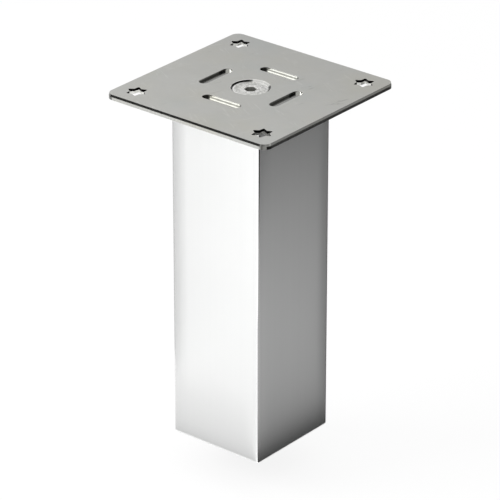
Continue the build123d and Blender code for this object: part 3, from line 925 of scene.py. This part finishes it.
def upright_card(name, start, end, top, stops):
    """A reflection card standing at the foot's level between two points, its grey running upwards."""
    reflection_card(name, ((*start, 0.0), (*end, 0.0), (*end, top), (*start, top)), (0, 0, 1), stops)


def even(level):
    """Stops of a card that has one grey all over."""
    return ((0.0, level), (1.0, level))


def set_cards():
    """Grey cards that shade the reflections, each with its place and its stops of place and level."""
    side = TUBE_HIGH.x + 0.0002  # just clear of the tube's faces
    foot = 0.0005  # just above the foot's level
    level_card("Floor card on the right", foot, ((side, -0.2), (0.75, -0.2), (0.75, 0.9), (side, 0.9)),
               (1, 0, 0), ((side, 0.05), (0.037, 0.1), (0.046, 0.19), (0.056, 0.27), (0.075, 0.34),
                           (0.11, 0.39), (0.16, 0.41), (0.21, 0.38), (0.26, 0.35), (0.3, 0.31),
                           (0.318, 0.02), (0.75, 0.02)))
    level_card("Floor card far right", 2 * foot, ((side, 0.034), (0.589, 0.863), (0.3, 1.0), (side, 1.0)),
               (1, 0, 0), even(0.12))
    level_card("Floor card on the left", foot, ((-0.034, -0.031), (-1.0, -1.0), (-1.0, -0.2), (-0.3, -side)),
               (1, 0, 0), even(0.58))
    level_card("Floor card at the foot", 1.6 * foot,
               ((-0.12, -0.08), (-0.01, -0.08), (0.0285, -side), (-0.12, -side)), (0, -1, 0),
               ((side, 0.68), (0.035, 0.76), (0.044, 0.85), (0.06, 0.92), (0.08, 0.97)))
    near, far = 0.034, 0.052
    under_plate = TUBE_HIGH.z - 0.00005  # so close that the plate's own underside is too near to mirror it
    level_card("Card under the front star", under_plate,
               ((near, -far), (far, -far), (far, -near), (near, -near)), (1, 0, 0), even(0.04), beyond=0.0004)
    level_card("Card over the back", 0.36, ((-0.45, 0.12), (0.1, 0.12), (0.1, 0.5), (-0.45, 0.5)), (0, 1, 0),
               ((0.12, 1.0), (0.2, 0.98), (0.3, 0.64), (0.5, 0.5)))
    upright_card("Card at the back right", (0.9, 0.45), (0.3, 0.95), 0.9,
                 ((0.0, 0.2), (0.06, 0.36), (0.2, 0.36), (0.34, 0.3), (0.9, 0.3)))
    upright_card("Card at the front left", (-0.2, -1.3), (-1.25, -0.55), 0.5,
                 ((0.0, 0.02), (0.36, 0.02), (0.5, 0.6)))


def lay_floor(settings):
    """A pale floor that keeps the shadow, white to the camera and see-through from below."""
    to_camera, to_mirrors = 0.85, 0.4
    material = bpy.data.materials.new("Pale studio floor")
    tree = emptied(material)
    cloud = tree.noise(tree.put("ShaderNodeTexCoord").outputs["Object"], 3.0, detail=3.0)
    tone = tree.stain(rgba([settings.floor] * 3), cloud, FLOOR_CLOUD, strength=0.03)
    path = tree.put("ShaderNodeLightPath").outputs
    seen = tree.times(path["Is Camera Ray"], to_camera)
    for label in ("Is Glossy Ray", "Is Transmission Ray"):
        seen = tree.most(seen, tree.times(path[label], to_mirrors))
    matt = tree.shade("BsdfDiffuse", {"Color": tone})
    white = tree.shade("Emission", {"Color": WHITE, "Strength": 1.0})
    floor = tree.shade("MixShader", {0: seen, 1: matt, 2: white})
    below = tree.put("ShaderNodeNewGeometry").outputs["Backfacing"]
    tree.end(tree.shade("MixShader", {0: below, 1: floor, 2: tree.shade("BsdfTransparent")}))
    reach = settings.reach
    level = TUBE_LOW.z - settings.drop
    corners = ((-reach, -reach), (reach, -reach), (reach, reach), (-reach, reach))
    flat_card("Floor", [(x, y, level) for x, y in corners], material)


def light_room(settings):
    """An even white room all round."""
    world = bpy.data.worlds.new("White room")
    bpy.context.scene.world = world
    tree = emptied(world)
    room = tree.shade("Background", {"Color": WHITE, "Strength": settings.room_light})
    tree.end(room, "ShaderNodeOutputWorld")


def hang_softbox(settings):
    """A soft light at the front left, pointed at the top of the leg."""
    lamp = bpy.data.lights.new("Softbox", "AREA")
    lamp.shape = "RECTANGLE"
    lamp.size = settings.softbox_width
    lamp.size_y = settings.softbox_height
    lamp.energy = settings.softbox
    holder = bpy.data.objects.new("Softbox", lamp)
    towards = Vector((-0.572, -0.695, 0.434))
    holder.location = Vector((0.0, 0.0, PLATE_HIGH.z)) + settings.softbox_distance * towards
    holder.rotation_euler = towards.to_track_quat("Z", "Y").to_euler()
    holder.visible_camera = False
    bpy.context.scene.collection.objects.link(holder)


def set_camera(settings):
    """The camera on its circle round the target, looking at it."""
    level = cos(settings.elevation)
    back = Vector((sin(settings.azimuth) * level, -cos(settings.azimuth) * level, sin(settings.elevation)))
    camera = bpy.data.cameras.new("Camera")
    camera.sensor_width = 36.0
    camera.lens = settings.lens
    camera.clip_start = 0.05
    camera.clip_end = 30.0
    holder = bpy.data.objects.new("Camera", camera)
    holder.location = Vector(settings.target) + settings.distance * back
    holder.rotation_euler = back.to_track_quat("Z", "Y").to_euler()
    bpy.context.scene.collection.objects.link(holder)
    bpy.context.scene.camera = holder


# Operators

class SUPPORTLEG_OT_plate(Operator):
    """Finish the mounting plate in scratched satin zinc"""
    bl_idname = "support_leg.finish_plate"
    bl_label = "Finish Plate"

    def execute(self, context):
        dress(plate_material(context.scene.support_leg.plate), "mounting_plate")
        return {"FINISHED"}


class SUPPORTLEG_OT_screw(Operator):
    """Finish the countersunk screw in bright zinc with a turned head"""
    bl_idname = "support_leg.finish_screw"
    bl_label = "Finish Screw"

    def execute(self, context):
        dress(screw_material(context.scene.support_leg.screw), "fixing_screw")
        return {"FINISHED"}


class SUPPORTLEG_OT_tube(Operator):
    """Finish the square tube in drawn aluminium"""
    bl_idname = "support_leg.finish_tube"
    bl_label = "Finish Tube"

    def execute(self, context):
        dress(tube_material(context.scene.support_leg.tube), "leg_tube")
        return {"FINISHED"}


class SUPPORTLEG_OT_nuts(Operator):
    """Finish both hexagon nuts in zinc"""
    bl_idname = "support_leg.finish_nuts"
    bl_label = "Finish Nuts"

    def execute(self, context):
        dress(nut_material(context.scene.support_leg.nut), "top_nut", "foot_nut")
        return {"FINISHED"}


class SUPPORTLEG_OT_mouldings(Operator):
    """Finish the inserts and the glide pad in black nylon"""
    bl_idname = "support_leg.finish_mouldings"
    bl_label = "Finish Mouldings"

    def execute(self, context):
        settings = context.scene.support_leg.moulding
        insert = moulded_material("Glass-filled insert", settings.insert_colour, settings)
        pad = moulded_material("Worn glide pad", settings.pad_colour, settings, worn=True)
        dress(insert, "top_insert", "foot_insert")
        dress(pad, "glide_pad")
        return {"FINISHED"}


class SUPPORTLEG_OT_spindle(Operator):
    """Build the levelling spindle with its real thread"""
    bl_idname = "support_leg.build_spindle"
    bl_label = "Build Spindle"

    def execute(self, context):
        settings = context.scene.support_leg.spindle
        piece = build_spindle(settings)
        piece.data.materials.append(spindle_material(settings))
        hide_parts("glide_spindle")
        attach(piece, "spindle")
        return {"FINISHED"}


class SUPPORTLEG_OT_stage(Operator):
    """Lay the floor, light the room and set the camera"""
    bl_idname = "support_leg.set_stage"
    bl_label = "Set Stage"

    def execute(self, context):
        settings = context.scene.support_leg.stage
        context.scene.view_settings.view_transform = "Standard"
        lay_floor(settings)
        light_room(settings)
        hang_softbox(settings)
        set_cards()
        set_camera(settings)
        return {"FINISHED"}


class SUPPORTLEG_PT_panel(Panel):
    """Steps and settings of the support leg"""
    bl_label = "Support Leg"
    bl_idname = "SUPPORTLEG_PT_panel"
    bl_space_type = "VIEW_3D"
    bl_region_type = "UI"
    bl_category = "Support Leg"

    def draw(self, context):
        settings = context.scene.support_leg
        for part, step in (("plate", "finish_plate"), ("screw", "finish_screw"), ("tube", "finish_tube"),
                           ("nut", "finish_nuts"), ("moulding", "finish_mouldings"),
                           ("spindle", "build_spindle"), ("stage", "set_stage")):
            box = self.layout.box()
            box.operator(f"support_leg.{step}")
            group = getattr(settings, part)
            for name in group.bl_rna.properties.keys():
                if name not in ("rna_type", "name"):
                    box.prop(group, name)


CLASSES = (PlateSettings, ScrewSettings, TubeSettings, NutSettings, MouldingSettings, SpindleSettings,
           StageSettings, SupportLegSettings, SUPPORTLEG_OT_plate, SUPPORTLEG_OT_screw, SUPPORTLEG_OT_tube,
           SUPPORTLEG_OT_nuts, SUPPORTLEG_OT_mouldings, SUPPORTLEG_OT_spindle, SUPPORTLEG_OT_stage,
           SUPPORTLEG_PT_panel)


def register():
    for cls in CLASSES:
        bpy.utils.register_class(cls)
    bpy.types.Scene.support_leg = PointerProperty(type=SupportLegSettings)


def unregister():
    del bpy.types.Scene.support_leg
    for cls in reversed(CLASSES):
        bpy.utils.unregister_class(cls)


def main():
    register()
    steps = bpy.ops.support_leg
    steps.finish_plate()
    steps.finish_screw()
    steps.finish_tube()
    steps.finish_nuts()
    steps.finish_mouldings()
    steps.build_spindle()
    steps.set_stage()


if __name__ == "__main__":
    main()
